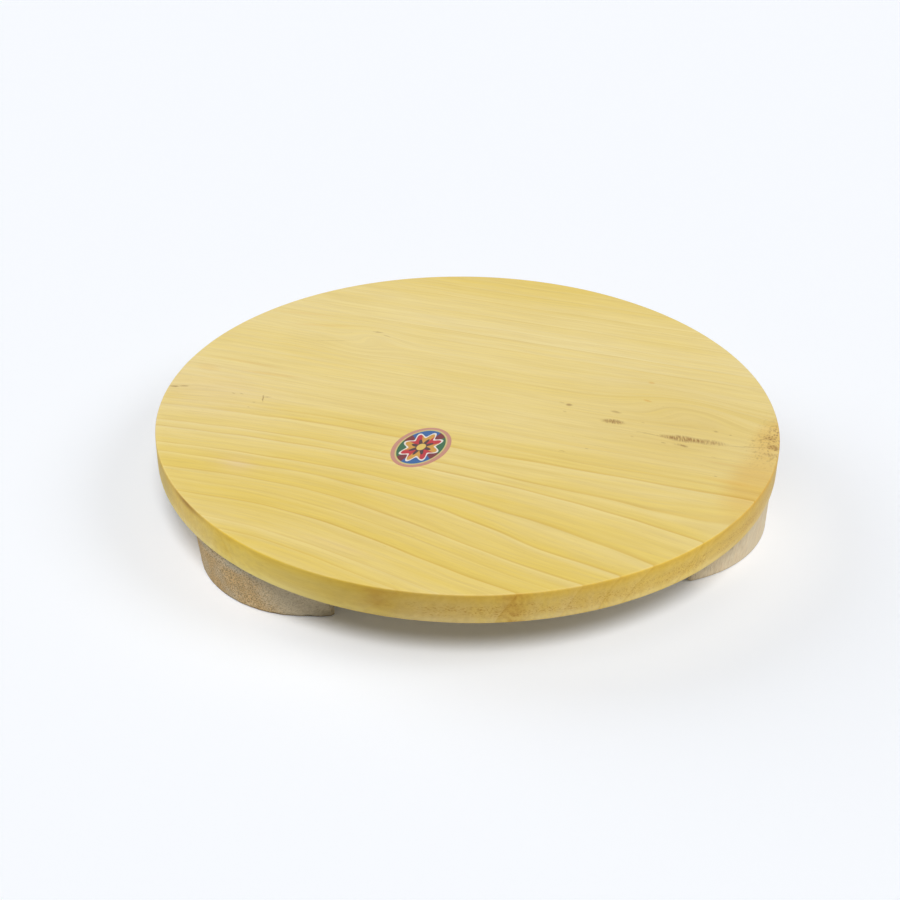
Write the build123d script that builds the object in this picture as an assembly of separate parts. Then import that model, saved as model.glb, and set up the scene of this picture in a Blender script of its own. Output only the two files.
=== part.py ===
from build123d import *
import math
import os

# A round rolling board for flatbread: one wooden plank on three half-moon wooden feet.
# Millimetres and degrees. The origin is on the floor under the board's centre, +Z is up
# and +Y points to the back foot. The front of the board, where the cook stands, is at -Y.

# The round plank
board_diameter = 300.0
board_thickness = 14.6
top_easing = 0.9          # rounding sanded onto the upper rim edge
bottom_easing = 0.7       # small bevel under the rim

# What the three feet share
foot_height = 24.4
foot_easing = 0.5         # bevel round the sole
front_bearing = 270.0     # middle of the board's front, from +X
front_spread = 120.0      # angle between the two front feet, seen from the board's centre
back_bearing = 90.0

# Front left foot: the most rounded one, sawn with a slanting blade so that it widens upwards
left_width = 92.5         # along the straight side
left_bulge = 26.0         # how far the curved side stands out from its own two ends
left_tip = 2.0            # flat left at each pointed end
left_inset = 3.3          # from the curved side's crown to the rim, at the floor
left_lean = 5.5           # slant of the curved side, outwards

# Front right foot: longer and flatter, sawn square
right_width = 102.3
right_bulge = 25.3
right_tip = 1.5
right_inset = 1.5
right_lean = 0.6

# Back foot: between the two in shape
back_width = 97.0
back_bulge = 25.6
back_tip = 1.8
back_inset = 2.4
back_lean = 2.5

# Wire nails, two to a foot, driven up from the sole and set below it
nail_spacing = 44.0
nail_diameter = 2.2
nail_cover = 5.6          # wood left between the nail's point and the top face
nail_fit = 0.04           # gap between a nail and its hole, all round
head_diameter = 5.4
head_rim = 0.5            # upright edge of the head
head_cone = 0.5           # bevel between that edge and the face that bears on the wood
head_sink = 1.2           # from the sole up to the head
head_gap = 0.25           # gap between the head and the pocket it was punched into
point_length = 3.2
point_tip = 0.3           # side of the blunt square end of the point

# Oval paper label on the top face
label_length = 37.5
label_width = 25.0
label_thickness = 0.15
label_left = 28.8         # from the board's centre to the label's centre, towards -X
label_forward = 31.6      # and towards -Y
label_turn = 50.0         # of the label's length, from +X

overrun = 1.0             # how far every cutting shape runs past what it cuts

board_radius = board_diameter / 2
overall_height = foot_height + board_thickness
nail_length = overall_height - nail_cover - head_sink
head_thickness = head_rim + head_cone
head_seat = head_sink + head_thickness


def make_board():
    # The plank lies on the feet, with its upper edge rounded and its lower edge bevelled.
    plank = Pos(0, 0, foot_height) * extrude(Circle(board_radius), board_thickness)
    rims = plank.edges().filter_by(GeomType.CIRCLE).sort_by(Axis.Z)
    plank = chamfer(rims[0], bottom_easing)
    rims = plank.edges().filter_by(GeomType.CIRCLE).sort_by(Axis.Z)
    return fillet(rims[-1], top_easing)


class HalfMoon:
    # The outline of one foot's sole, with +X pointing out from the board's centre to the rim.
    def __init__(self, width, bulge, tip, inset, lean):
        self.half_width = width / 2
        self.arc_radius = (self.half_width ** 2 + bulge ** 2) / (2 * bulge)
        self.arc_centre = board_radius - inset - self.arc_radius
        self.end = self.arc_centre + self.arc_radius - bulge
        self.straight = self.end - tip
        self.flare = foot_height * math.tan(math.radians(lean))

    def curve_at(self, across):
        # Distance from the board's centre to the curved side, at a place across the foot.
        return self.arc_centre + math.sqrt(self.arc_radius ** 2 - across ** 2)

    def nail_places(self):
        # Halfway between the straight and the curved side, mirrored about the foot's middle.
        across = nail_spacing / 2
        along = (self.straight + self.curve_at(across)) / 2
        return [(along, -across), (along, across)]


def make_foot(moon):
    # The curved side is turned as a short cone, and the straight side and both ends are sawn.
    # Both shapes are bevelled at the floor, so the bevel runs all round the sole.
    slope = moon.flare / foot_height
    side = Polyline(
        (0, 0),
        (moon.arc_radius - foot_easing, 0),
        (moon.arc_radius + slope * foot_easing, foot_easing),
        (moon.arc_radius + moon.flare, foot_height),
        (0, foot_height),
        close=True,
    )
    turned = Pos(moon.arc_centre, 0, 0) * revolve(make_face(Plane.XZ * side), Axis.Z)
    crown = moon.arc_centre + moon.arc_radius + moon.flare
    sawn = Pos(moon.straight, 0, 0) * Box(
        crown - moon.straight + foot_easing + overrun,
        2 * moon.half_width,
        foot_height,
        align=(Align.MIN, Align.CENTER, Align.MIN),
    )
    sole = sawn.faces().sort_by(Axis.Z)[0]
    return turned & chamfer(sole.edges(), foot_easing)


def head_pocket(places):
    # Room for the nail heads, from below the sole up to where the heads bear on the wood.
    pocket = extrude(Circle(head_diameter / 2 + head_gap), head_seat + overrun)
    return [Pos(x, y, -overrun) * pocket for x, y in places]


def shank_hole(places):
    # A straight hole just deeper than the nail, without the taper of its point.
    depth = head_sink + nail_length + nail_fit
    hole = extrude(Circle(nail_diameter / 2 + nail_fit), depth)
    return [Pos(x, y, 0) * hole for x, y in places]


def make_nail():
    # Flat head bevelled towards the shank, round wire shank and a four-sided cut point.
    radius = nail_diameter / 2
    head = extrude(Circle(head_diameter / 2), head_thickness)
    outer = head.edges().filter_by(GeomType.CIRCLE).sort_by(Axis.Z)[-1]
    head = chamfer(outer, head_cone)
    shank = extrude(Circle(radius), nail_length - point_length)
    slant = math.degrees(math.atan((nail_diameter - point_tip) / 2 / point_length))
    spike = extrude(Rectangle(nail_diameter, nail_diameter), point_length, taper=slant)
    point = spike & extrude(Circle(radius), point_length)
    return head + shank + Pos(0, 0, nail_length - point_length) * point


def make_label():
    oval = extrude(Ellipse(label_length / 2, label_width / 2), label_thickness)
    return Pos(-label_left, -label_forward, overall_height) * Rot(0, 0, label_turn) * oval


moons = {
    "front_left": HalfMoon(left_width, left_bulge, left_tip, left_inset, left_lean),
    "front_right": HalfMoon(right_width, right_bulge, right_tip, right_inset, right_lean),
    "back": HalfMoon(back_width, back_bulge, back_tip, back_inset, back_lean),
}
bearings = {
    "front_left": front_bearing - front_spread / 2,
    "front_right": front_bearing + front_spread / 2,
    "back": back_bearing,
}

nodes = {}
board = make_board()
nail = make_nail()
for name, moon in moons.items():
    places = moon.nail_places()
    turn = Rot(0, 0, bearings[name])
    holes = shank_hole(places)
    foot = make_foot(moon) - head_pocket(places) - holes
    board = board - [turn * hole for hole in holes]
    nodes["foot_" + name] = turn * foot
    driven = [turn * Pos(x, y, head_sink) * nail for x, y in places]
    nodes["nails_" + name] = Compound(children=driven)
nodes["rolling_board"] = board
nodes["oval_label"] = make_label()

os.makedirs("parts", exist_ok=True)
for name, shape in nodes.items():
    shape.label = name
    export_step(shape, "parts/" + name + ".step")
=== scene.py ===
import math

import bpy
from mathutils import Matrix, Vector, noise
from mathutils.geometry import delaunay_2d_cdt


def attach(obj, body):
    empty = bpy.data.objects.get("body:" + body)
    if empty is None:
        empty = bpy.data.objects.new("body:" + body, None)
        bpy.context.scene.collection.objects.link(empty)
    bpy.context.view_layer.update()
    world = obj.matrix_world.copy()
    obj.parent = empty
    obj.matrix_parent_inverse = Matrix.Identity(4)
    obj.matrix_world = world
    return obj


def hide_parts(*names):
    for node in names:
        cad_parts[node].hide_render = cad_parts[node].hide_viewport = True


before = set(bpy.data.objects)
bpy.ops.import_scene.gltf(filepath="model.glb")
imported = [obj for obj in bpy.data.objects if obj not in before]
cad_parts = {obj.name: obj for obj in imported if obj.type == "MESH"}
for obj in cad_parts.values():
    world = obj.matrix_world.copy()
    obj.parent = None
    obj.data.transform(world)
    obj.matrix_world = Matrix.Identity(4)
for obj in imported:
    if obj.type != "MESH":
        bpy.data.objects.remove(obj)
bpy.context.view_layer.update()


# The rolling board: one round slab of pale yellow wood, sawn so close to the middle of the tree
# that its yearly rings cross the top as long bowed lines and slant down the rim. It was sawn
# round by hand, sanded, eased at both edges and rubbed with a thin yellow polish.
board_radius = 0.150
board_thickness = 0.0146
foot_height = 0.0244
top_easing = 0.0009
bottom_easing = 0.0007


class Number:
    """One number in a node tree: a Python sum of Numbers adds the Math nodes that work it out."""

    def __init__(self, tree, socket):
        self.tree = tree
        self.socket = socket

    def math(self, operation, *sockets):
        return self.tree.number("ShaderNodeMath", {"operation": operation}, dict(enumerate(sockets)))

    def __add__(self, other):
        return self.math("ADD", self, other)

    __radd__ = __add__

    def __sub__(self, other):
        return self.math("SUBTRACT", self, other)

    def __rsub__(self, other):
        return self.math("SUBTRACT", other, self)

    def __mul__(self, other):
        return self.math("MULTIPLY", self, other)

    __rmul__ = __mul__

    def __truediv__(self, other):
        return self.math("DIVIDE", self, other)

    def __rtruediv__(self, other):
        return self.math("DIVIDE", other, self)

    def root(self):
        return self.math("SQRT", self)

    def least(self, other):
        return self.math("MINIMUM", self, other)

    def rise(self, start, end):
        """0 up to start and 1 from end on, with a soft change between. End may be below start."""
        return self.tree.number(
            "ShaderNodeMapRange",
            {"interpolation_type": "SMOOTHSTEP"},
            {"Value": self, "From Min": start, "From Max": end},
        )


class Tree:
    """A node tree in the making. node() makes any node: its settings first, then its sockets."""

    def __init__(self, tree):
        self.tree = tree

    def node(self, kind, settings=None, sockets=None):
        made = self.tree.nodes.new(kind)
        for name, value in (settings or {}).items():
            if name == "stops":
                self.set_stops(made.color_ramp.elements, value)
            else:
                setattr(made, name, value)
        for name, value in (sockets or {}).items():
            self.feed(made.inputs[name], value)
        return made

    def set_stops(self, elements, stops):
        while len(elements) < len(stops):
            elements.new(1)
        for element, (place, colour) in zip(elements, stops):
            element.position = place
            element.color = colour

    def feed(self, socket, value):
        source = getattr(value, "socket", value)
        if isinstance(source, bpy.types.NodeSocket):
            self.tree.links.new(source, socket)
        else:
            socket.default_value = value

    def number(self, kind, settings, sockets, output=0):
        return Number(self, self.node(kind, settings, sockets).outputs[output])

    def join(self, *numbers):
        return self.node("ShaderNodeCombineXYZ", {}, dict(enumerate(numbers))).outputs[0]


class Finish(Tree):
    """A surface finish: one Principled shader, whose steady values are set on its own sockets."""

    def __init__(self, name, **steady):
        self.material = bpy.data.materials.new(name)
        self.material.use_nodes = True
        super().__init__(self.material.node_tree)
        self.shader = self.tree.nodes["Principled BSDF"]
        for socket, value in steady.items():
            self.shader.inputs[socket.replace("_", " ")].default_value = value

    def place(self, turn=(0, 0, 0), middle=(0, 0, 0), unit=(0.001, 0.001, 0.001)):
        """Object coordinates from a middle point, along turned axes, in units of a given size."""
        coordinates = self.node("ShaderNodeTexCoord").outputs["Object"]
        turned = tuple(math.radians(angle) for angle in turn)
        sockets = {"Vector": coordinates, "Location": middle, "Rotation": turned, "Scale": unit}
        found = self.node("ShaderNodeMapping", {"vector_type": "TEXTURE"}, sockets).outputs[0]
        parts = self.node("ShaderNodeSeparateXYZ", {}, {0: found})
        return [Number(self, socket) for socket in parts.outputs]

    def noise(self, numbers, sizes, detail=2.0, seed=0.0):
        """Cloudy noise about 0, with a patch as long in each direction as its size there."""
        spread = [number / size for number, size in zip(numbers, sizes)]
        sockets = {"Vector": self.join(*spread), "W": seed, "Scale": 1.0, "Detail": detail}
        found = self.number("ShaderNodeTexNoise", {"noise_dimensions": "4D"}, sockets)
        return (found - 0.5) * 2

    def blend(self, under, over, share, way="MIX"):
        settings = {"data_type": "RGBA", "blend_type": way}
        return self.node("ShaderNodeMix", settings, {0: share, 6: under, 7: over}).outputs[2]

    def stain(self, colour, tone, share):
        """Multiplies a colour by a tone, as far as the share says."""
        return self.blend(colour, (*tone, 1), share, "MULTIPLY")

    def wear(self, colour, roughness=None, relief=None, relief_depth=0.0001, metallic=None):
        """Feeds what changes over the surface to the shader."""
        self.feed(self.shader.inputs["Base Color"], colour)
        if roughness is not None:
            self.feed(self.shader.inputs["Roughness"], roughness)
        if metallic is not None:
            self.feed(self.shader.inputs["Metallic"], metallic)
        if relief is not None:
            bump = self.node("ShaderNodeBump", {}, {"Height": relief, "Distance": relief_depth})
            self.feed(self.shader.inputs["Normal"], bump.outputs[0])


def paint(red, green, blue):
    """A colour named by its screen values, 0 to 255."""
    shares = [value / 255 for value in (red, green, blue)]
    return (*[s / 12.92 if s <= 0.04045 else ((s + 0.055) / 1.055) ** 2.4 for s in shares], 1.0)


# The board's wood is worked out in millimetres, with X along the grain, Y across it and Z up.
# A ring is known by its distance from the pith, which runs along the grain under the board.
grain_turn = -38.0
pith_across = -8.0
pith_height = -5.0
polish = Finish("polished_wood", Roughness=0.5, IOR=1.42)
along, across, height = polish.place(turn=(0, 0, grain_turn))
reach = (along * along + across * across).root()
# 1 on the upright rim, and 0 on both faces and on the rounding of the upper edge.
on_rim = reach.rise(149.0, 149.2) * height.rise(38.95, 38.55)

# The rings bow to the front on the near half, where the trunk had a bend.
near = across.rise(-25.4, -56.8)
nearest = across.rise(-50.0, -103.5)
bend = (along - 28.55 - (across + 84.0) * 0.381).rise(-80.0, 80.0)
bow = along * (0.147 - near * 0.035 - near * along * 0.00066) - nearest * bend * 19.55


def swelling(along_middle, across_middle, along_size, across_size):
    """1 at a place in the board, fading to 0 around it."""
    right = (along - along_middle) / along_size
    up = (across - across_middle) / across_size
    far = (right * right + up * up) * -1
    return polish.number("ShaderNodeMath", {"operation": "EXPONENT"}, {0: far})


eye = swelling(96.0, 49.0, 30.0, 14.0) * 13.0
knot = swelling(-76.0, 46.0, 15.0, 9.0) * 7.0 - swelling(-76.0, 30.0, 18.0, 10.0) * 5.0
wander = polish.noise((along, across, height), (45.0, 12.0, 40.0), 1.0, 3.0) * 1.4
ring_place = across - bow - eye - knot + wander
side = ring_place - pith_across
depth = height - pith_height
from_pith = (side * side + depth * depth).root()

# Each ring: how far its end is from the pith, and how dark it is on the near and far halves.
ring_ends = [
    (45.1, 0.25, 0.12), (49.7, 0.35, 0.12), (53.0, 0.85, 0.15), (60.1, 0.10, 0.28),
    (62.4, 0.60, 0.06), (66.9, 0.95, 0.10), (78.1, 0.85, 0.10), (85.1, 0.90, 0.30),
    (95.3, 0.75, 0.42), (103.0, 0.30, 0.28), (111.7, 1.00, 0.06), (115.3, 0.05, 0.42),
    (126.0, 0.45, 0.26), (132.0, 0.60, 0.45), (145.4, 0.60, 0.45), (155.4, 0.40, 0.32),
]
near_half = ring_place.rise(15.0, -15.0)
faint_left = along.rise(-100.0, -25.0) * 0.5 + 0.5
patchy = polish.noise((along, ring_place, height), (40.0, 9.0, 30.0), 1.0, 5.0) * 0.9
patchy = patchy + faint_left
dark_line = 0.0
gold = 0.0
pale_line = 0.0
for end, near_strength, far_strength in ring_ends:
    to_go = end - from_pith
    strength = near_half * (near_strength - far_strength) + far_strength
    inside = to_go.rise(-0.2, 0.2)
    dark_line = strength * to_go.rise(1.2, 0.1) * inside + dark_line
    gold = strength * to_go.rise(8.0, 0.5) * inside + gold
    pale_line = strength * to_go.rise(-3.0, -0.3) * (1 - inside) + pale_line

# From front to back the wood goes from deep yellow to pale straw.
deep_yellow = paint(232, 204, 104)
pale_straw = paint(240, 220, 156)
ring_line_tone = (0.90, 0.83, 0.71)
grain_tone = (0.90, 0.87, 0.82)
fibre_tone = (0.93, 0.90, 0.84)
pore_tone = (0.78, 0.70, 0.52)
bands = [
    (-150, 0.30), (-140, 0.30), (-134, 0.15), (-130, 0.50), (-124, 0.50), (-117, 0.32), (-111, 0.20),
    (-104, 0.20), (-95, 0.28), (-86, 0.20), (-76, 0.40), (-66, 0.38), (-57, 0.60), (-46, 0.60),
    (-30, 0.50), (-15, 0.74), (0, 0.78), (20, 0.64), (35, 0.60), (50, 0.80), (68, 0.72), (80, 0.90),
    (90, 0.80), (100, 0.62), (106, 0.76), (117, 0.58), (133, 0.34), (150, 0.08),
]
stops = [((place + 150) / 300, (share, share, share, 1)) for place, share in bands]
paleness = polish.number("ShaderNodeValToRGB", {"stops": stops}, {0: (ring_place + 150) / 300})
streaks = polish.noise((along, ring_place, height), (90.0, 2.6, 9.0), 3.0, 1.0)
grain = polish.noise((along, ring_place, height), (26.0, 1.0, 2.0), 2.0, 7.0)
fibres = polish.noise((along, across, height), (14.0, 0.5, 0.5), 2.0, 2.0)
clouds = polish.noise((along, across, height), (60.0, 30.0, 30.0), 2.0, 4.0)
ring_tone = (pale_line * 0.25 - gold * patchy * 0.30) * (1 - on_rim * 0.6)
paleness = paleness + streaks * 0.35 + grain * 0.2 + clouds * 0.25 + ring_tone
colour = polish.blend(deep_yellow, pale_straw, paleness)
line_strength = (dark_line * patchy).least(1.2) * (1 - on_rim * 0.45)
colour = polish.stain(colour, ring_line_tone, line_strength)
colour = polish.stain(colour, grain_tone, grain.rise(-0.5, 0.6))
colour = polish.stain(colour, fibre_tone, fibres.rise(0.05, 0.75))
pores = polish.noise((along, across, height), (2.6, 0.26, 0.26), 0.0, 6.0).rise(0.42, 0.75)
colour = polish.stain(colour, pore_tone, pores * 0.55)

# The rim: gold under the upper edge, duller below it and pale along the bottom, where the
# paleness is partly a painted reflection of the floor. Round the rim it is partly the wood's own
# tone and partly painted light and shade: lighter on the left and right sides, darker facing the
# front. It gets browner where the saw crossed the grain, where its open pores show as well.
level = (height - foot_height * 1000 + grain * 1.2) / (board_thickness * 1000)
# By height: the pale, bluish bottom band is partly a painted reflection of the floor's light.
rim_levels_and_floor_reflection = [
    (0.0, (1.05, 1.09, 1.48, 1)), (0.14, (1.03, 1.07, 1.38, 1)), (0.24, (0.97, 0.97, 1.08, 1)),
    (0.42, (0.93, 0.90, 0.84, 1)), (0.66, (0.93, 0.90, 0.78, 1)), (0.78, (0.93, 0.87, 0.60, 1)),
    (0.90, (0.92, 0.83, 0.44, 1)), (1.0, (0.94, 0.88, 0.58, 1)),
]
level_tone_and_reflection = polish.node("ShaderNodeValToRGB", {"stops": rim_levels_and_floor_reflection}, {0: level}).outputs[0]
bearing = polish.number("ShaderNodeMath", {"operation": "ARCTAN2"}, {0: across, 1: along})
# By bearing: partly the wood's own tone and partly painted light and shade, lighter to the left and
# right and darker where the rim faces the front.
rim_bearings_and_light = [
    (-130, (1.0, 0.97, 0.84, 1)), (-124, (1.20, 1.16, 1.05, 1)), (-118, (1.16, 1.11, 0.84, 1)),
    (-104, (1.18, 1.17, 0.82, 1)), (-94, (1.04, 1.04, 0.84, 1)), (-84, (0.85, 0.81, 0.54, 1)),
    (-76, (0.79, 0.73, 0.57, 1)), (-64, (0.85, 0.78, 0.64, 1)), (-58, (0.93, 0.88, 0.73, 1)),
    (-52, (0.97, 0.93, 0.92, 1)), (-45, (0.98, 0.91, 0.80, 1)), (-35, (1.08, 1.01, 0.78, 1)),
    (-25, (1.12, 1.03, 0.68, 1)), (-10, (1.12, 1.0, 0.66, 1)), (-4, (1.14, 1.02, 0.78, 1)),
    (25, (1.06, 0.96, 0.72, 1)), (70, (1.0, 0.96, 0.90, 1)), (125, (0.90, 0.85, 0.80, 1)),
    (165, (1.05, 1.0, 0.92, 1)),
]
stops = [((turn + 180) / 360, tone) for turn, tone in rim_bearings_and_light]
part_of_turn = bearing / (2 * math.pi) + 0.5
bearing_light_and_tone = polish.node("ShaderNodeValToRGB", {"stops": stops}, {0: part_of_turn}).outputs[0]
colour = polish.blend(colour, level_tone_and_reflection, on_rim, "MULTIPLY")
colour = polish.blend(colour, bearing_light_and_tone, on_rim, "MULTIPLY")
brown_band = swelling(82.0, -125.6, 5.0, 14.0) * (0.7 + grain * 0.8)
scorch = swelling(-74.0, -130.5, 14.0, 11.0) * height.rise(35.0, 38.2)
smudge = swelling(30.0, -147.0, 5.0, 5.0) * height.rise(28.0, 31.5) * height.rise(38.4, 37.0)
pore_patches = polish.noise((along, across, height), (14.0, 14.0, 3.0), 1.0, 14.0)
crossing = along.rise(15.0, 60.0) * height.rise(26.5, 28.5) * height.rise(36.0, 32.0)
open_pores = polish.noise((along, across, height), (3.0, 0.55, 0.42), 1.0, 9.0).rise(0.0, 0.35)
rim_pores = crossing * pore_patches.rise(-0.35, 0.15) * open_pores
rim_stains = [
    ((0.80, 0.66, 0.46), brown_band), ((0.54, 0.43, 0.32), scorch),
    ((0.89, 0.81, 0.63), smudge), ((0.74, 0.56, 0.28), rim_pores * 0.85),
]
for tone, share in rim_stains:
    colour = polish.stain(colour, tone, on_rim * share)

# The underside was never polished: it is paler, with the saw's marks across the grain.
under = height.rise(24.75, 24.5)
saw_marks = polish.noise((along + across * 0.15, across, height), (1.1, 45.0, 9.0), 1.0, 15.0)
sawn_share = 0.5 + saw_marks * 0.35 + streaks * 0.2
raw_tone = polish.blend(paint(214, 190, 140), paint(232, 212, 166), sawn_share)
colour = polish.blend(colour, raw_tone, under * 0.7)

# Marks of use on the top: scuffs, specks and smears, each a patch with ragged edges.
shaken = [polish.noise((along, across, height), (2.2, 1.1, 2.0), 2.0, seed) for seed in (10.0, 11.0)]
rough_place = polish.join(along + shaken[0] * 0.9, across + shaken[1] * 0.6, 0.0)
on_top = height.rise(37.5, 38.6)


def mark(along_middle, across_middle, half_length, half_width, strength, turn=0.0):
    """A mark's strength in its middle, fading to 0 round it. Sizes are in millimetres."""
    sockets = {
        "Vector": rough_place,
        "Location": (along_middle, across_middle, 0),
        "Rotation": (0, 0, math.radians(turn)),
        "Scale": (half_length, half_width, 1),
    }
    inside = polish.node("ShaderNodeMapping", {"vector_type": "TEXTURE"}, sockets).outputs[0]
    away = polish.number("ShaderNodeVectorMath", {"operation": "LENGTH"}, {0: inside}, 1)
    return away.rise(1.25, 0.35) * strength


def together(marks):
    """The strengths of several marks, added up."""
    total = 0.0
    for each in marks:
        total = mark(*each) + total
    return total


specks = [
    (43.0, 25.5, 1.7, 1.2, 0.75), (43.5, 18.5, 1.2, 0.5, 0.30), (39.0, 26.0, 1.5, 0.5, 0.25),
    (66.0, 29.5, 2.8, 1.2, 0.50), (96.0, 13.0, 1.2, 0.5, 0.45), (105.5, 14.5, 2.2, 0.9, 0.50),
    (81.0, 11.5, 1.2, 0.4, 0.30), (121.0, 11.5, 1.2, 0.4, 0.30), (81.0, 26.0, 1.0, 0.5, 0.25),
    (115.0, 34.0, 1.2, 0.8, 0.45), (122.0, 34.0, 0.6, 0.5, 0.50), (133.0, 34.0, 1.0, 0.6, 0.30),
    (66.0, -8.5, 1.0, 0.4, 0.35), (56.5, -15.7, 1.8, 0.4, 0.40), (127.0, -4.0, 0.8, 0.5, 0.35),
    (-77.0, 50.3, 3.2, 0.7, 0.50, 12.0), (-71.0, 48.6, 2.4, 0.5, 0.35, -8.0),
    (-109.0, -40.0, 1.2, 0.5, 0.40), (-105.0, -38.5, 1.0, 0.5, 0.35),
    (-95.0, -43.0, 0.8, 0.5, 0.30), (-95.0, -48.0, 0.8, 0.5, 0.30),
]
scratches = [
    (87.5, 17.5, 8.0, 0.5, 0.35, 4.0), (133.0, 27.5, 10.0, 0.6, 0.30, 22.0),
    (-93.2, -37.6, 3.8, 0.4, 0.75, -63.0), (-92.0, -35.5, 1.8, 0.4, 0.60, 20.0),
    (-94.0, 30.7, 10.4, 0.35, 0.25, 27.0), (-139.0, -47.5, 2.6, 0.8, 0.80, 20.0),
    (-134.5, -45.0, 2.4, 0.7, 0.70, 25.0),
]
smears = [
    (68.0, 20.3, 5.6, 2.4, 1.10, 12.0), (103.0, 20.4, 8.0, 3.2, 1.00, 12.0),
    (114.0, 22.8, 9.5, 2.7, 0.82, 12.0), (95.5, 18.8, 4.5, 1.8, 0.60, 8.0),
    (104.0, 14.5, 4.0, 1.3, 0.35, 5.0), (139.5, 39.5, 4.0, 2.4, 0.60, 20.0),
    (143.5, 32.5, 2.4, 3.4, 0.90, 100.0), (144.0, 25.0, 1.6, 3.2, 0.50, 95.0),
]
strokes = polish.noise((along + across * 0.4, across, height), (0.75, 3.4, 3.0), 2.0, 13.0)
soot = polish.noise((along, across, height), (1.0, 1.5, 1.2), 2.0, 12.0).rise(-0.05, 0.50)
dirt = together(specks + scratches) + together(smears) * strokes.rise(-0.55, 0.35)
dirt = dirt + soot * swelling(143.0, 39.0, 8.5, 19.0) * 1.15
warm_marks = [
    (71.5, 65.0, 1.8, 1.3, 0.55), (76.0, 47.0, 2.3, 0.9, 0.80), (140.0, 40.0, 9.0, 20.0, 0.45),
    (144.0, -2.0, 13.0, 32.0, 0.50), (132.0, -6.0, 12.0, 2.0, 0.25, 6.0),
    (128.0, 8.0, 12.0, 1.4, 0.25, 8.0), (-135.0, -23.0, 7.0, 4.0, 0.20),
    (-106.0, 44.5, 20.0, 1.8, 0.22, 22.0),
    (-122.0, 52.0, 18.0, 1.8, 0.18, 15.0), (-102.0, -14.5, 18.0, 1.6, 0.25, 14.0),
    (-120.0, -9.5, 20.0, 1.4, 0.20, 7.0),
]
pink_places = swelling(-118.0, -42.0, 30.0, 22.0) * 0.5 + swelling(-72.0, -94.0, 9.0, 7.0)
pink_places = pink_places + swelling(10.0, -97.0, 22.0, 5.0) * 0.3
pink_places = pink_places + swelling(2.0, -129.0, 20.0, 3.0) * 0.5
handled = swelling(105.0, 28.0, 55.0, 48.0)
top_stains = [
    ((1.0, 0.99, 1.40), pink_places.least(1.0)), ((0.93, 0.90, 0.82), handled),
    ((0.92, 0.72, 0.42), together(warm_marks).least(1.0)), ((0.48, 0.35, 0.25), dirt.least(1.0)),
]
for tone, share in top_stains:
    colour = polish.stain(colour, tone, share * on_top)
relief = fibres * 0.5 + grain * 0.3 - pores - on_rim * rim_pores + under * saw_marks * 2.5
polish.wear(colour, 0.5 + fibres * 0.10 + pores * 0.2 + under * 0.3, relief, 0.00004)


class Recipe(Tree):
    """A Geometry Nodes tree: its sizes go in as named inputs, and one mesh comes out."""

    def __init__(self, name, spots=(), **sizes):
        super().__init__(bpy.data.node_groups.new(name, "GeometryNodeTree"))
        self.spots = spots
        self.values = {}
        sockets = self.tree.interface
        sockets.new_socket("Mesh", in_out="OUTPUT", socket_type="NodeSocketGeometry")
        sockets.new_socket("Spots", in_out="INPUT", socket_type="NodeSocketGeometry")
        kinds = {int: "NodeSocketInt", float: "NodeSocketFloat", bpy.types.Object: "NodeSocketObject"}
        for label, value in sizes.items():
            shown = label.replace("_", " ").title()
            made = sockets.new_socket(shown, in_out="INPUT", socket_type=kinds[type(value)])
            self.values[made.identifier] = value
        outputs = self.tree.nodes.new("NodeGroupInput").outputs
        self.start = outputs[0]
        self.size = {label: Number(self, socket) for label, socket in zip(sizes, outputs[1:])}

    def shape(self, kind, settings=None, sockets=None):
        return self.node(kind, settings, sockets).outputs[0]

    def pick(self, kind, choices):
        """A value chosen by a point's number along its curve."""
        switch = self.node("GeometryNodeIndexSwitch", {"data_type": kind})
        while len(switch.index_switch_items) < len(choices):
            switch.index_switch_items.new()
        self.feed(switch.inputs[0], self.shape("GeometryNodeInputIndex"))
        for number, choice in enumerate(choices):
            self.feed(switch.inputs[number + 1], choice)
        return switch.outputs[0]

    def bake(self, name, shape, material):
        """Runs the tree once on a new object, keeps the plain mesh and drops the modifier."""
        real = self.shape("GeometryNodeRealizeInstances", {}, {0: shape})
        done = self.shape("GeometryNodeSetMaterial", {}, {"Geometry": real, "Material": material})
        self.node("NodeGroupOutput", {}, {0: done})
        seed = bpy.data.meshes.new(name + "_spots")
        seed.from_pydata(self.spots, [], [])
        piece = bpy.data.objects.new(name, seed)
        bpy.context.scene.collection.objects.link(piece)
        modifier = piece.modifiers.new(name, "NODES")
        modifier.node_group = self.tree
        for identifier, value in self.values.items():
            modifier[identifier] = value
        ready = piece.evaluated_get(bpy.context.evaluated_depsgraph_get())
        mesh = bpy.data.meshes.new_from_object(ready)
        piece.modifiers.remove(modifier)
        piece.data = mesh
        mesh.name = name
        return piece


# Half a section of the slab, from the axis to the rim and back, is turned once round the axis.
slab = Recipe(
    "round_slab",
    radius=board_radius,
    underside=foot_height,
    thickness=board_thickness,
    top_easing=top_easing,
    bottom_easing=bottom_easing,
    ring_spacing=0.0035,
    rim_waviness=0.00022,
    wave_length=0.028,
    turn_steps=360,
    easing_steps=6,
    seed=11,
)
size = slab.size
axis = 0 - size["radius"]
low = 0 - size["underside"]
high = low - size["thickness"]
places = [slab.join(axis, low), slab.join(0.0, low), slab.join(0.0, high), slab.join(axis, high)]
section = slab.shape("GeometryNodeMeshLine", {}, {"Count": 4})
section = slab.shape("GeometryNodeMeshToCurve", {}, {0: section})
sockets = {0: section, "Position": slab.pick("VECTOR", places)}
section = slab.shape("GeometryNodeSetPosition", {}, sockets)
easings = slab.pick("FLOAT", [0.0, size["bottom_easing"], size["top_easing"], 0.0])
sockets = {"Curve": section, "Count": size["easing_steps"], "Radius": easings}
section = slab.shape("GeometryNodeFilletCurve", {"mode": "POLY"}, sockets)
here = slab.shape("GeometryNodeInputPosition")
after = Number(slab, slab.shape("GeometryNodeInputIndex")) + 1
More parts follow.
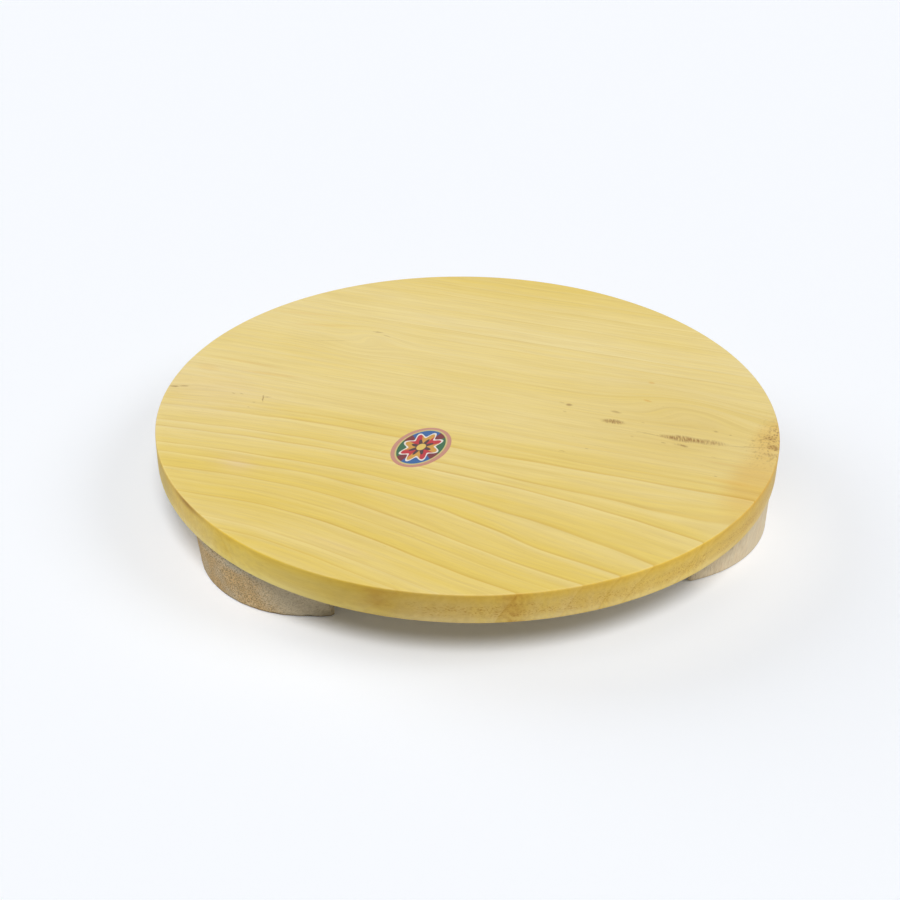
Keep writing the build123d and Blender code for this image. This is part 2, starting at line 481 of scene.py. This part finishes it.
sockets = {"Index": after, "Value": here}
there = slab.shape("GeometryNodeFieldAtIndex", {"data_type": "FLOAT_VECTOR"}, sockets)
gap = slab.number("ShaderNodeVectorMath", {"operation": "DISTANCE"}, {0: here, 1: there}, 1)
sockets = {0: section, "Cuts": gap / size["ring_spacing"]}
section = slab.shape("GeometryNodeSubdivideCurve", {}, sockets)
sockets = {"Resolution": size["turn_steps"], "Radius": size["radius"]}
full_turn = slab.shape("GeometryNodeCurvePrimitiveCircle", {"mode": "RADIUS"}, sockets)
whole = slab.shape("GeometryNodeCurveToMesh", {}, {0: full_turn, 1: section})
whole = slab.shape("GeometryNodeMergeByDistance", {}, {0: whole, "Distance": 1e-6})
# Sanding by hand leaves the rim a little uneven, always inside the full circle.
sockets = {"Vector": here, "W": size["seed"], "Scale": 1 / size["wave_length"], "Detail": 1.0}
wave = slab.number("ShaderNodeTexNoise", {"noise_dimensions": "4D"}, sockets)
sockets = {0: here, 1: (1.0, 1.0, 0.0)}
outwards = slab.shape("ShaderNodeVectorMath", {"operation": "MULTIPLY"}, sockets)
way_out = slab.number("ShaderNodeVectorMath", {"operation": "LENGTH"}, {0: outwards}, 1)
way_out = way_out / size["radius"]
inwards = wave * way_out.rise(0.5, 1.0) * size["rim_waviness"] / size["radius"] * -1
shift = slab.shape("ShaderNodeVectorMath", {"operation": "SCALE"}, {0: outwards, "Scale": inwards})
whole = slab.shape("GeometryNodeSetPosition", {}, {0: whole, "Offset": shift})
whole = slab.shape("GeometryNodeSetShadeSmooth", {}, {0: whole})
board = slab.bake("rolling_board_slab", whole, polish.material)
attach(board, "root")
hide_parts("rolling_board")


# The feet: three half-moon blocks of raw offcut wood under the rim, each with its curved side
# out. Both front ones show: the left one is dark end grain, sawn on a slant and chipped along
# its lower edge, and the right one is smooth and pale. They are held by nails from below.
foot_easing = 0.0005
corner_round = 0.00035
pocket_radius = 0.00295
pocket_depth = 0.0022
shank_hole_radius = 0.00114
nail_spacing = 0.044
circle_steps = 32
curve_steps = 150
straight_steps = 80
tip_steps = 5
corner_steps = 5
sole_rows = [0.0, 0.00015, 0.0003]
side_rows = 30
row_spacing = 0.0008
seat_easing = 0.0002
chip_height = 0.002
curve_from = 0.002
fine_saw_marks = 1.6
broad_saw_marks = 7.0
seed_step = 31.7


class HalfMoonFoot:
    """One foot's shape, worked out with +X pointing from the board's centre to the rim."""

    def __init__(self, width, bulge, tip, inset, lean, bearing):
        self.half_width = width / 2
        self.arc_radius = (self.half_width ** 2 + bulge ** 2) / (2 * bulge)
        self.arc_centre = board_radius - inset - self.arc_radius
        self.straight = self.arc_centre + self.arc_radius - bulge - tip
        self.slope = math.tan(math.radians(lean))
        self.turn = Matrix.Rotation(math.radians(bearing), 4, "Z")

    def nail_places(self):
        across = nail_spacing / 2
        curve = self.arc_centre + math.sqrt(self.arc_radius ** 2 - across ** 2)
        return [((self.straight + curve) / 2, side) for side in (-across, across)]

    def outline(self, height, inward):
        """The foot's outline at a height, from one end of the curve all the way round."""
        radius = self.arc_radius + self.slope * height - inward
        half_width, straight = self.half_width - inward, self.straight + inward
        spread = math.asin(half_width / radius)
        tip_out = self.arc_centre + radius * math.cos(spread)
        right, left = Vector((tip_out, -half_width)), Vector((tip_out, half_width))
        far_left, far_right = Vector((straight, half_width)), Vector((straight, -half_width))
        curve = self.sweep(radius, spread - corner_round / radius)
        left_end = self.run(left, far_left, tip_steps)
        back = self.run(far_left, far_right, straight_steps)
        right_end = self.run(far_right, right, tip_steps)
        points = curve + self.corner(curve[-1], left, left_end[0])
        points += left_end + self.corner(left_end[-1], far_left, back[0])
        points += back + self.corner(back[-1], far_right, right_end[0])
        return points + right_end + self.corner(right_end[-1], right, curve[0])

    def sweep(self, radius, spread):
        angles = [spread * (2 * step / curve_steps - 1) for step in range(curve_steps + 1)]
        middle = Vector((self.arc_centre, 0))
        return [middle + radius * Vector((math.cos(angle), math.sin(angle))) for angle in angles]

    def run(self, start, end, steps):
        eased = (end - start).normalized() * corner_round
        start, end = start + eased, end - eased
        return [start.lerp(end, step / steps) for step in range(steps + 1)]

    def corner(self, before, tip, after):
        shares = [step / corner_steps for step in range(1, corner_steps)]
        return [before.lerp(tip, share).lerp(tip.lerp(after, share), share) for share in shares]

    def normal(self, points, i):
        run = points[(i + 1) % len(points)] - points[i - 1]
        return Vector((run.y, -run.x)).normalized()


def circle(place, radius):
    turns = [2 * math.pi * step / circle_steps for step in range(circle_steps)]
    middle = Vector(place)
    return [middle + radius * Vector((math.cos(turn), math.sin(turn))) for turn in turns]


def cap(loops, firsts, holes, hole_radius):
    """Triangles that fill the first loop of vertices and leave out the round holes in it."""
    points, edges, numbers = [], [], []
    for loop, first in zip(loops, firsts):
        start, count = len(points), len(loop)
        points += loop
        edges += [(start + i, start + (i + 1) % count) for i in range(count)]
        numbers += range(first, first + count)
    places, _, triangles, origins, _, _ = delaunay_2d_cdt(points, edges, [], 1, 1e-9, True)
    faces = []
    for triangle in triangles:
        middle = sum((places[i] for i in triangle), Vector((0, 0))) / 3
        if all((middle - Vector(hole)).length > hole_radius for hole in holes):
            faces.append([numbers[origins[i][0]] for i in triangle])
    return faces


def hoop(low, high, count):
    """Four-sided faces between two rings of vertices, each known by its first vertex."""
    steps = [(i, (i + 1) % count) for i in range(count)]
    return [[low + a, low + b, high + b, high + a] for a, b in steps]


def make_solid(name, vertices, faces, crease):
    """A smooth object with sharp edges where its faces meet at more than the crease, in degrees."""
    mesh = bpy.data.meshes.new(name)
    mesh.from_pydata(vertices, [], faces)
    mesh.polygons.foreach_set("use_smooth", [True] * len(mesh.polygons))
    mesh.set_sharp_from_angle(angle=math.radians(crease))
    return bpy.data.objects.new(name, mesh)


def carve_foot(name, foot, roughness, chips, seed):
    """The foot as one closed mesh: rough sawn sides, eased edges and two nail pockets below."""
    heights = sole_rows + [foot_easing + step * row_spacing for step in range(side_rows)]
    heights += [foot_height - seat_easing, foot_height]
    vertices, faces = [], []
    for height in heights:
        inward = max(foot_easing - height, 0) + max(height - foot_height + seat_easing, 0)
        ring = foot.outline(height, inward)
        for i, point in enumerate(ring):
            spot = Vector((point.x, point.y, height)) * 1000
            fine = noise.noise(spot / fine_saw_marks + Vector((seed, 0, 0)))
            broad = noise.noise(spot / broad_saw_marks + Vector((0, seed, 0)))
            cut = roughness * (0.5 + fine * 0.3 + broad * 0.2)
            for chip_across, chip_size, chip_depth in chips:
                share = max(0, 1 - abs(point.y - chip_across) / chip_size)
                share *= max(0, 1 - height / chip_height)
                if point.x > foot.straight + curve_from:
                    cut += chip_depth * share * (0.6 + abs(fine))
            moved = point - foot.normal(ring, i) * cut
            vertices.append(Vector((*moved, height)))
    count = len(vertices) // len(heights)
    for row in range(len(heights) - 1):
        faces += hoop(row * count, (row + 1) * count, count)
    top_row = (len(heights) - 1) * count
    soles, sole_firsts = [[v.xy for v in vertices[:count]]], [0]
    tops, top_firsts = [[v.xy for v in vertices[top_row:]]], [top_row]
    places = foot.nail_places()
    for place in places:
        wide, narrow = circle(place, pocket_radius), circle(place, shank_hole_radius)
        first = len(vertices)
        rims = [(wide, 0), (wide, pocket_depth), (narrow, pocket_depth), (narrow, foot_height)]
        for loop, level in rims:
            vertices += [Vector((*point, level)) for point in loop]
        soles.append(wide)
        sole_firsts.append(first)
        tops.append(narrow)
        top_firsts.append(first + 3 * circle_steps)
        for step in range(3):
            low = first + step * circle_steps
            faces += hoop(low + circle_steps, low, circle_steps)
    faces += [face[::-1] for face in cap(soles, sole_firsts, places, pocket_radius)]
    faces += cap(tops, top_firsts, places, shank_hole_radius)
    piece = make_solid(name, [foot.turn @ vertex for vertex in vertices], faces, 40)
    bpy.context.scene.collection.objects.link(piece)
    return piece


def raw_wood(
    name, turn, light, dark, grey, pore, speckle, smooth_from=1000.0, contact_shade=0.0, bruise=None,
):
    """Unpolished wood: pores that are dots on the end grain and short lines on the long grain."""
    wood = Finish(name, Roughness=0.8, IOR=1.35)
    spot = wood.place(turn=turn)
    rings = wood.noise(spot, (60.0, 3.5, 9.0), 2.0, 1.0)
    fine = wood.noise(spot, (9.0, 0.6, 0.6), 2.0, 2.0)
    dust = wood.noise(spot, (16.0, 10.0, 10.0), 3.0, 3.0)
    dots = wood.noise(spot, (9.0, pore, pore), 1.0, 4.0)
    pale = wood.noise(spot, (9.0, pore, pore), 1.0, 5.0)
    level = wood.place()[2]
    rough_end = spot[0].rise(smooth_from + 9.0, smooth_from - 5.0)
    colour = wood.blend(light, dark, 0.5 + rings * 0.4 + fine * 0.6)
    dust_and_rim_shade = dust.rise(-0.25, 0.30) * rough_end * 0.5 + (1 - rough_end) * 0.8
    # Greyer towards the top of each foot, just under the board: painted shade from the overhanging
    # rim.
    dust_and_rim_shade = dust_and_rim_shade + level.rise(16.0, 21.0) * 0.5
    colour = wood.blend(colour, grey, dust_and_rim_shade.least(1.0))
    bare = speckle * (rough_end * 0.92 + 0.08)
    brushed = fine.rise(-0.2, 0.5) * (1 - rough_end * 0.8) * 0.8
    stains = [
        ((1.22, 1.10, 0.88), pale.rise(0.0, 0.35) * bare),
        ((0.40, 0.31, 0.21), dots.rise(-0.10, 0.35) * bare),
        ((0.84, 0.81, 0.76), brushed),
        # Darker along the bottom edge: painted contact shadow where the foot stands on the floor.
        ((0.50, 0.46, 0.42), (level + fine * 0.5).rise(1.3, 0.5) * contact_shade),
    ]
    if bruise:
        bruised = wood.join(*wood.place(middle=bruise, unit=(0.002, 0.002, 0.0032)))
        away = wood.number("ShaderNodeVectorMath", {"operation": "LENGTH"}, {0: bruised}, 1)
        stains.append(((0.66, 0.60, 0.52), (away + fine * 0.6).rise(1.2, 0.5)))
    for tone, share in stains:
        colour = wood.stain(colour, tone, share)
    wood.wear(colour, None, fine * 0.4 - dots.rise(0.0, 0.4), 0.0002)
    return wood.material


# Each foot: its shape, how rough it was sawn, its chips, as place, size and depth, and its wood.
feet = {
    "foot_front_left": (
        HalfMoonFoot(width=0.0925, bulge=0.0260, tip=0.0020, inset=0.0033, lean=5.5, bearing=210),
        0.00035,
        [(0.036, 0.004, 0.0007), (0.0405, 0.003, 0.0010), (0.029, 0.003, 0.0004)],
        raw_wood(
            "weathered_end_grain", (0, -25, 15),
            paint(242, 212, 158), paint(188, 158, 112), paint(218, 206, 178),
            pore=0.50, speckle=0.80, smooth_from=-114.0, contact_shade=0.8,
        ),
    ),
    "foot_front_right": (
        HalfMoonFoot(width=0.1023, bulge=0.0253, tip=0.0015, inset=0.0015, lean=0.6, bearing=330),
        0.00015,
        [],
        raw_wood(
            "pale_offcut", (0, -75, 60),
            paint(255, 240, 206), paint(242, 216, 176), paint(246, 230, 198),
            pore=0.6, speckle=0.12, contact_shade=0.3, bruise=(0.1013, -0.0999, 0.0135),
        ),
    ),
    "foot_back": (
        HalfMoonFoot(width=0.0970, bulge=0.0256, tip=0.0018, inset=0.0024, lean=2.5, bearing=90),
        0.00025,
        [(-0.030, 0.004, 0.0005)],
        raw_wood(
            "back_offcut", (0, 15, 70),
            paint(222, 198, 156), paint(190, 162, 118), paint(198, 182, 154),
            pore=0.8, speckle=0.6,
        ),
    ),
}
for seed, (name, (foot, roughness, chips, wood)) in enumerate(feet.items()):
    piece = carve_foot(name + "_block", foot, roughness, chips, seed * seed_step)
    piece.data.materials.append(wood)
    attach(piece, "root")
    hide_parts(name)


# The nails: six plain wire nails, two to a foot, driven up from below and punched in under the
# sole. Each is drawn steel with an upset flat head, grip rings below it and a cut point.
nail_length = 0.0322
nail_radius = 0.0011
head_sink = 0.0012
point_length = 0.0032
point_tip = 0.00015
nail_steps = 24
nail_profile = [
    (0.0012, 0.00008), (0.0023, 0.0), (0.0026, 0.00008), (0.0027, 0.00025),
    (0.0027, 0.0005), (0.0024, 0.0007), (0.00155, 0.00095), (0.00112, 0.0011),
]
head_dimple = 0.00012
grip_rings = [0.0030 + step * 0.0006 for step in range(6)]
grip_depth = 0.00006
grip_width = 0.00015


def forge_nail():
    """One nail as a closed mesh, with its head on the floor and its point up."""
    profile = list(nail_profile)
    for ring in grip_rings:
        groove = (nail_radius - grip_depth, ring)
        profile += [(nail_radius, ring - grip_width), groove, (nail_radius, ring + grip_width)]
    profile.append((nail_radius, nail_length - point_length))
    angles = [2 * math.pi * step / nail_steps for step in range(nail_steps)]
    rows = []
    for radius, level in profile:
        rows.append([(radius * math.cos(a), radius * math.sin(a), level) for a in angles])
    for share in (0.25, 0.5, 0.75, 1.0):
        flat = nail_radius + (point_tip - nail_radius) * share
        level = nail_length - point_length * (1 - share)
        radii = [min(nail_radius, flat / max(abs(math.cos(a)), abs(math.sin(a)))) for a in angles]
        rows.append([(r * math.cos(a), r * math.sin(a), level) for r, a in zip(radii, angles)])
    vertices = [(0.0, 0.0, head_dimple)] + [point for row in rows for point in row]
    vertices.append((0.0, 0.0, nail_length))
    steps = [(i, (i + 1) % nail_steps) for i in range(nail_steps)]
    faces = [[0, 1 + b, 1 + a] for a, b in steps]
    for row in range(len(rows) - 1):
        low = 1 + row * nail_steps
        faces += hoop(low, low + nail_steps, nail_steps)
    low = 1 + (len(rows) - 1) * nail_steps
    faces += [[low + a, low + b, len(vertices) - 1] for a, b in steps]
    return make_solid("one_nail", vertices, faces, 50)


steel = Finish("nail_steel", Metallic=1.0, Roughness=0.4)
spot = steel.place()
tarnish = steel.noise(spot, (0.8, 0.8, 0.8), 3.0, 1.0)
rust = steel.noise(spot, (1.6, 1.6, 1.6), 4.0, 2.0).rise(0.15, 0.55)
shine = steel.blend(paint(176, 176, 178), paint(128, 126, 124), 0.5 + tarnish)
colour = steel.blend(shine, paint(120, 78, 48), rust)
steel.wear(colour, 0.38 + tarnish * 0.2 + rust * 0.35, tarnish + rust * 0.6, 0.00003, 1 - rust)

spots = []
for foot, *_ in feet.values():
    spots += [foot.turn @ Vector((*place, head_sink)) for place in foot.nail_places()]
driven = Recipe("driven_nails", spots, nail=forge_nail(), seed=5)
sockets = {2: 0.0, 3: 2 * math.pi, "Seed": driven.size["seed"]}
spin = driven.number("FunctionNodeRandomValue", {}, sockets, 1)
turned = driven.shape("FunctionNodeEulerToRotation", {}, {0: driven.join(0.0, 0.0, spin)})
nail = driven.node("GeometryNodeObjectInfo", {}, {"Object": driven.size["nail"]}).outputs["Geometry"]
sockets = {"Points": driven.start, "Instance": nail, "Rotation": turned}
group = driven.shape("GeometryNodeInstanceOnPoints", {}, sockets)
nails = driven.bake("wire_nails", group, steel.material)
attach(nails, "root")
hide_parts("nails_front_left", "nails_front_right", "nails_back")


# The label: an oval paper sticker near the middle of the top, with a dull pink border, a thin
# cream line and a printed rosette of eight petals on a dark red ground. It lies flat on the
# wood, with a slight ripple in the paper.
label_middle = (-0.0288, -0.0316, board_thickness + foot_height)
label_turn = 50.0
label_half_length = 0.01875
label_half_width = 0.0125
label_paper = 0.00009
label_ripple = 0.00004
ripples_per_metre = 160
rolled_edge = 0.35
label_border = 0.0021
label_turns = 120
label_rings = [0.0, 0.15, 0.3, 0.45, 0.6, 0.75, 0.88, 0.97, 1.0]


def cut_label():
    """The oval sheet of paper as a closed thin mesh with a rolled edge."""
    spin = Matrix.Translation(label_middle) @ Matrix.Rotation(math.radians(label_turn), 4, "Z")
    angles = [2 * math.pi * step / label_turns for step in range(label_turns)]
    sheets = []
    for under in (False, True):
        sheets.append([])
        for share in label_rings[1:]:
            for angle in angles:
                x = share * label_half_length * math.cos(angle)
                y = share * label_half_width * math.sin(angle)
                ripple = noise.noise(Vector((x, y, 0)) * ripples_per_metre) * 0.5 + 0.5
                lift = 0 if under else label_paper + label_ripple * ripple
                sheets[-1].append(Vector((x, y, lift * (1 if share < 1 else rolled_edge))))
    vertices = [Vector((0, 0, label_paper))] + sheets[0] + [Vector((0, 0, 0))] + sheets[1]
    faces = []
    steps = [(i, (i + 1) % label_turns) for i in range(label_turns)]
    rows = len(label_rings) - 1
    for middle, upside in ((0, True), (1 + len(sheets[0]), False)):
        first = middle + 1
        found = [[middle, first + a, first + b] for a, b in steps]
        for row in range(rows - 1):
            low = first + row * label_turns
            high = low + label_turns
            found += [[low + a, high + a, high + b, low + b] for a, b in steps]
        faces += found if upside else [face[::-1] for face in found]
    upper = 1 + (rows - 1) * label_turns
    lower = upper + 1 + len(sheets[0])
    faces += [[upper + a, lower + a, lower + b, upper + b] for a, b in steps]
    piece = make_solid("oval_sticker", [spin @ vertex for vertex in vertices], faces, 60)
    bpy.context.scene.collection.objects.link(piece)
    return piece


printed = Finish("printed_paper", Roughness=0.4)
x, y, z = printed.place(turn=(0, 0, label_turn), middle=label_middle)
long_half, wide_half = (half * 1000 for half in (label_half_length, label_half_width))
inner_long, inner_wide = long_half - label_border * 1000, wide_half - label_border * 1000
inner = ((x / inner_long) * (x / inner_long) + (y / inner_wide) * (y / inner_wide)).root()
sockets = {0: y / inner_wide, 1: x / inner_long}
angle = printed.number("ShaderNodeMath", {"operation": "ARCTAN2"}, sockets)


def wave(count, shift=0.0):
    return printed.number("ShaderNodeMath", {"operation": "SINE"}, {0: angle * count + shift})


# Eight petals with a cream outline, on a ground of red, blue and green quarters.
quarter = math.pi / 2
petal_length = 0.13
petal = inner - wave(8, quarter) * petal_length
ground = printed.blend(paint(112, 28, 34), paint(40, 92, 150), wave(2, 0.7).rise(0.2, 0.35))
ground = printed.blend(ground, paint(38, 92, 52), wave(2, 0.7).rise(-0.45, -0.6))
petals = printed.blend(paint(186, 38, 46), paint(206, 152, 60), wave(4, 0.6).rise(-0.1, 0.1))
petals = printed.blend(petals, paint(66, 34, 34), petal.rise(0.36, 0.33))
art = printed.blend(ground, paint(236, 226, 216), petal.rise(0.74, 0.71))
art = printed.blend(art, petals, petal.rise(0.66, 0.63))
art = printed.blend(art, paint(224, 190, 96), inner.rise(0.20, 0.17))
art = printed.blend(art, paint(206, 190, 120), inner.rise(0.94, 0.96))
art = printed.blend(art, paint(196, 138, 118), inner.rise(1.0, 1.02))
print_grain = printed.noise((x, y, z), (0.5, 0.5, 0.5), 2.0, 1.0)
art = printed.stain(art, (0.9, 0.88, 0.86), print_grain.rise(0.0, 0.6))
printed.wear(art, 0.4 + print_grain * 0.12, print_grain, 0.00001)
label = cut_label()
label.data.materials.append(printed.material)
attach(label, "root")
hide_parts("oval_label")


# The floor: a plain pale sheet that takes the board's soft shadow. It is white to the camera,
# and greyer to the light that it throws back up at the rim.
floor_half = 4.0
floor_glow = 0.05
floor_seen = (0.925, 0.945, 0.985, 1)
floor_thrown_back = (0.66, 0.67, 0.70, 1)
floor_mesh = bpy.data.meshes.new("floor")
floor_corners = [(-1, -1), (1, -1), (1, 1), (-1, 1)]
corners = [(x * floor_half, y * floor_half, 0) for x, y in floor_corners]
floor_mesh.from_pydata(corners, [], [[0, 1, 2, 3]])
floor = bpy.data.objects.new("floor", floor_mesh)
bpy.context.scene.collection.objects.link(floor)
sheet = Finish("pale_floor", Roughness=1.0, Specular_IOR_Level=0.0, Emission_Strength=floor_glow)
seen = sheet.node("ShaderNodeLightPath").outputs["Is Camera Ray"]
sheet.wear(sheet.blend(floor_thrown_back, floor_seen, seen))
sheet.feed(sheet.shader.inputs["Emission Color"], sheet.blend((0, 0, 0, 1), (1, 1, 1, 1), seen))
floor_mesh.materials.append(sheet.material)


# The light: a dim room and four soft lamps. The strongest one is above the front edge, and the
# others fill in from overhead, from the right and from low down at the back left.
room_light = 0.11
room_colour = (0.92, 0.97, 1.0, 1)
world = bpy.data.worlds.new("pale_room")
world.use_nodes = True
room = Tree(world.node_tree)
background = room.tree.nodes["Background"]
path = room.node("ShaderNodeLightPath")
rays = ("Is Camera Ray", "Is Glossy Ray", "Is Transmission Ray")
straight, mirrored, through = (Number(room, path.outputs[name]) for name in rays)
shown = (straight + mirrored + through).least(1.0)
room.feed(background.inputs["Strength"], shown * (1 - room_light) + room_light)
background.inputs["Color"].default_value = room_colour
bpy.context.scene.world = world
# Each lamp: its bearing, its height above the floor and its spread, in degrees, and its strength.
lamps = {
    "lamp_front": (264, 57, 22, 1.97),
    "lamp_above": (200, 65, 30, 0.20),
    "lamp_right": (340, 40, 30, 0.70),
    "lamp_back_left": (138, 25, 40, 0.95),
}
for name, (bearing, elevation, spread, strength) in lamps.items():
    light = bpy.data.lights.new(name, "SUN")
    light.energy = strength
    light.angle = math.radians(spread)
    lamp = bpy.data.objects.new(name, light)
    turned, raised = math.radians(bearing), math.radians(elevation)
    level_part = math.cos(raised)
    ray = Vector((math.cos(turned) * level_part, math.sin(turned) * level_part, math.sin(raised)))
    lamp.rotation_mode = "QUATERNION"
    lamp.rotation_quaternion = ray.to_track_quat("Z", "Y")
    bpy.context.scene.collection.objects.link(lamp)


# The camera: it looks down at the board from the front left.
camera_place = (-0.1383, -0.6165, 0.4063)
camera_turn = -11.9
camera_down = 31.79
camera_roll = 0.60
focal_length = 60
film_width = 36
lens = bpy.data.cameras.new("camera")
lens.lens = focal_length
lens.sensor_width = film_width
camera = bpy.data.objects.new("camera", lens)
camera.location = camera_place
turned = Matrix.Rotation(math.radians(camera_turn), 3, "Z")
lowered = Matrix.Rotation(math.radians(90 - camera_down), 3, "X")
rolled = Matrix.Rotation(math.radians(camera_roll), 3, "Z")
camera.rotation_euler = (turned @ lowered @ rolled).to_euler()
bpy.context.scene.collection.objects.link(camera)
bpy.context.scene.camera = camera
bpy.context.scene.view_settings.view_transform = "Standard"

bpy.context.view_layer.update()
